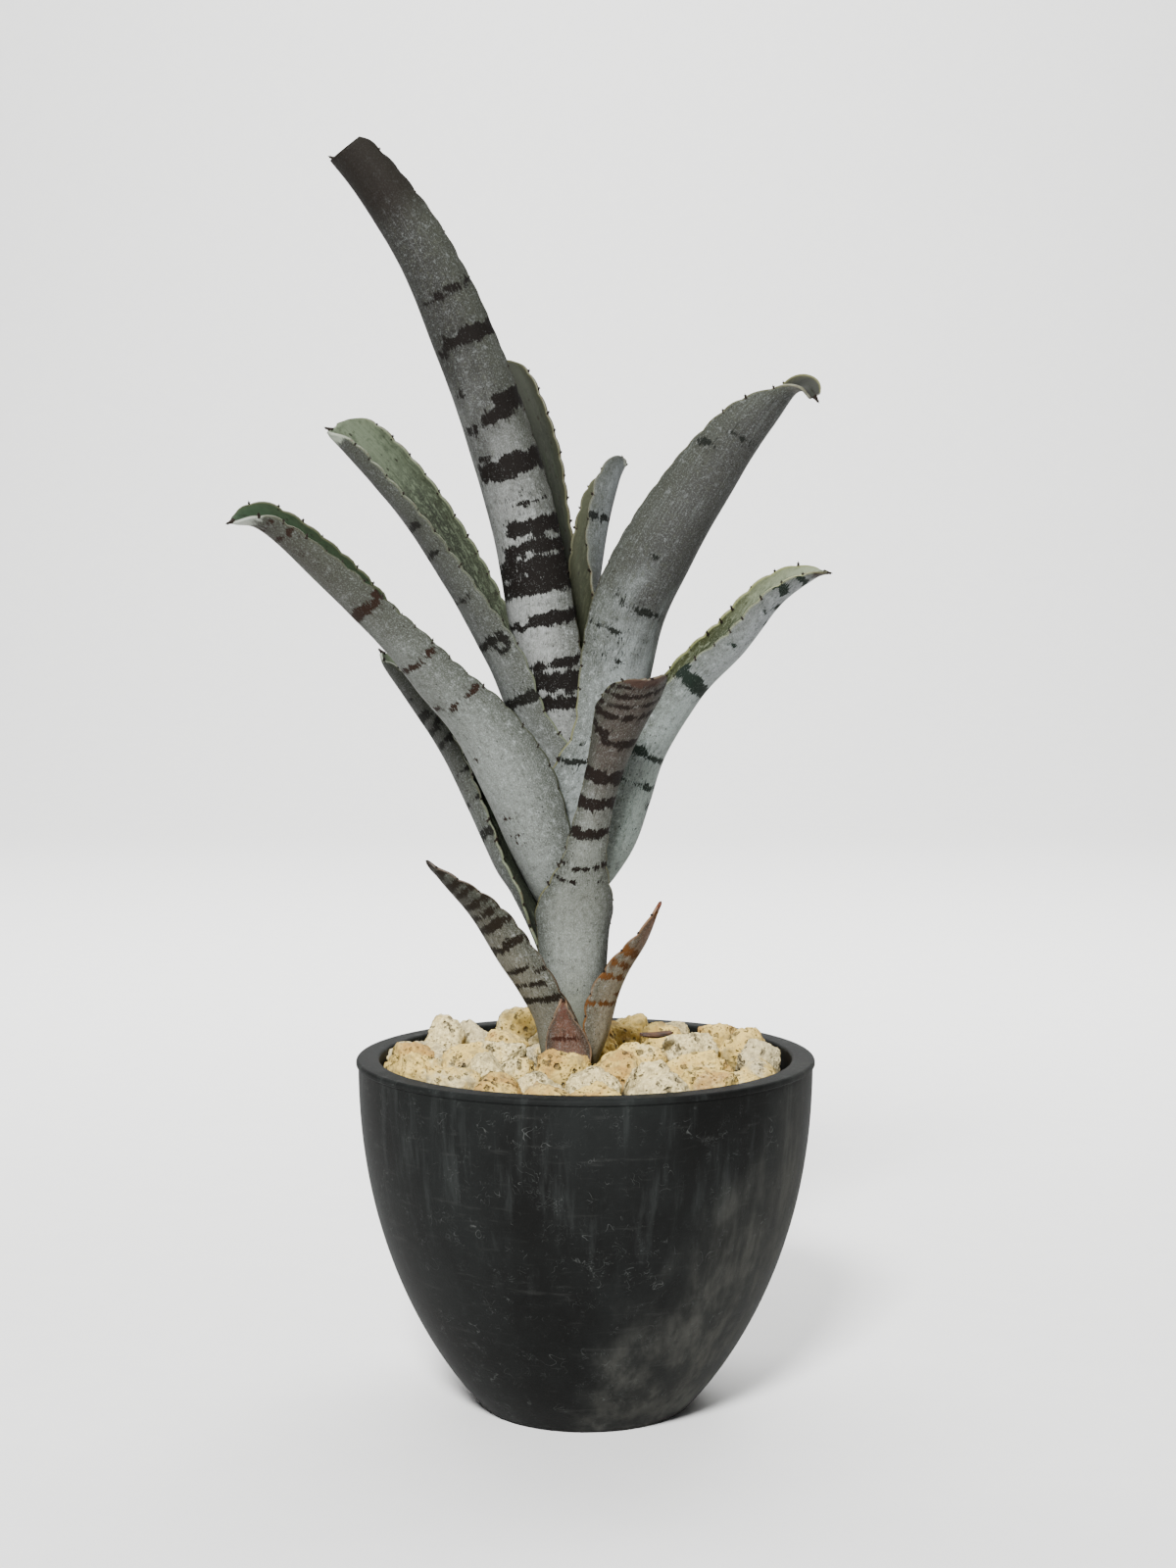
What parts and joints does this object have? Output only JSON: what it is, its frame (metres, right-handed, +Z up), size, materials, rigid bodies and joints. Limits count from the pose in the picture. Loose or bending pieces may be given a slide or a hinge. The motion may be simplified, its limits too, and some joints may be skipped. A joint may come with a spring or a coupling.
{
  "type": "potted bromeliad",
  "caption": "Tubular banded bromeliad with rolled, recurving leaves in a round tapered matt black pot, top-dressed with pumice stones; stands on its flat base.",
  "frame": {"origin": "middle of the pot's flat underside", "axes": "+Z up the pot's axis; -Y is the front, towards the viewer; +X to the viewer's right"},
  "size_m": [0.1837, 0.15, 0.4066],
  "materials": {
    "pot": "matt near-black stoneware look with fine pale scuffs and dusty patches",
    "potting_mix": "crumbly dark bark mix",
    "stem": "fibrous pale green stock",
    "leaf": "silver-grey scurfed leaf with ragged near-black cross bands",
    "small_leaf": "olive-brown and reddish basal leaf with cross bands",
    "pumice": "cream to yellow pitted pumice",
    "dry_leaf": "dry brown leaf scrap"
  },
  "bodies": {
    "root": {"pot": "pot", "potting_mix": "potting_mix", "stem": "stem", "leaf_tall": "leaf", "leaf_right": "leaf", "leaf_left_upper": "leaf", "leaf_left_lower": "leaf", "leaf_right_low": "leaf", "leaf_front": "leaf", "leaf_left_back": "leaf", "leaf_back": "leaf", "leaf_back_right": "leaf", "leaf_small_left": "small_leaf", "leaf_small_right": "small_leaf", "leaf_scale_front": "small_leaf", "pumice_01": "pumice", "pumice_02": "pumice", "pumice_03": "pumice", "pumice_04": "pumice", "pumice_05": "pumice", "pumice_06": "pumice", "pumice_07": "pumice", "pumice_08": "pumice", "pumice_09": "pumice", "pumice_10": "pumice", "pumice_11": "pumice", "pumice_12": "pumice", "pumice_13": "pumice", "pumice_14": "pumice", "pumice_15": "pumice", "pumice_16": "pumice", "pumice_17": "pumice", "pumice_18": "pumice", "pumice_19": "pumice", "pumice_20": "pumice", "pumice_21": "pumice", "pumice_22": "pumice", "pumice_23": "pumice", "pumice_24": "pumice", "pumice_25": "pumice", "pumice_26": "pumice", "pumice_27": "pumice", "pumice_28": "pumice", "pumice_29": "pumice", "pumice_30": "pumice", "pumice_31": "pumice", "pumice_32": "pumice", "pumice_33": "pumice", "pumice_34": "pumice", "pumice_35": "pumice", "pumice_36": "pumice", "pumice_37": "pumice", "pumice_38": "pumice", "pumice_39": "pumice", "pumice_40": "pumice", "dry_leaf_scrap": "dry_leaf"}
  },
  "joints": []
}
